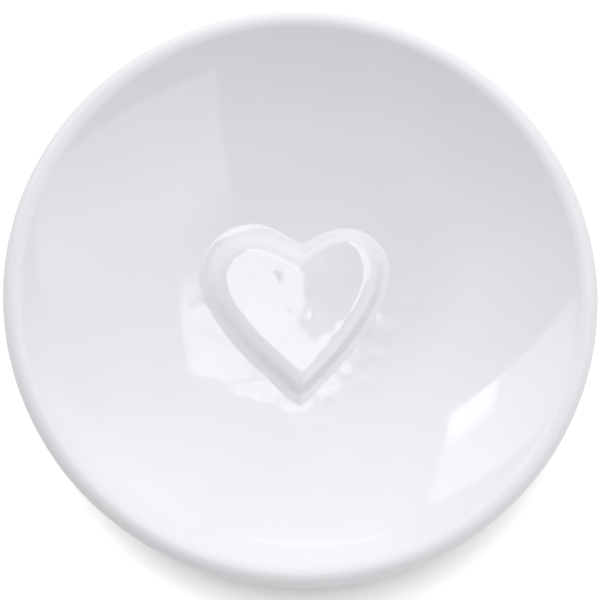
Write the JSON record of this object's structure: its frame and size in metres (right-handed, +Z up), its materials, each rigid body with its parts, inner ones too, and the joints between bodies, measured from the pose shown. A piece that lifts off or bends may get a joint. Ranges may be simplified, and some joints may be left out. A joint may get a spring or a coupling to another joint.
{
  "type": "soap dish",
  "caption": "Round shallow soap dish of white glazed ceramic, with a rounded lip, a raised heart on its floor that lifts the soap, and a foot ring to stand on.",
  "frame": {"origin": "on the dish's axis, in the plane of the standing face under the foot ring", "axes": "+Z up along the dish's axis; +Y from the heart's tip towards its notch; +X to the right of the upright heart"},
  "size_m": [0.12, 0.12, 0.0245],
  "materials": {
    "glaze": "clear gloss glaze on white ware, slightly cool",
    "relief_glaze": "the same gloss glaze, softened over the edges of the heart",
    "foot": "glazed sides and a dry, unglazed standing face"
  },
  "bodies": {
    "root": {"dish_body": "glaze", "heart_relief": "relief_glaze", "foot_ring": "foot"}
  },
  "joints": []
}
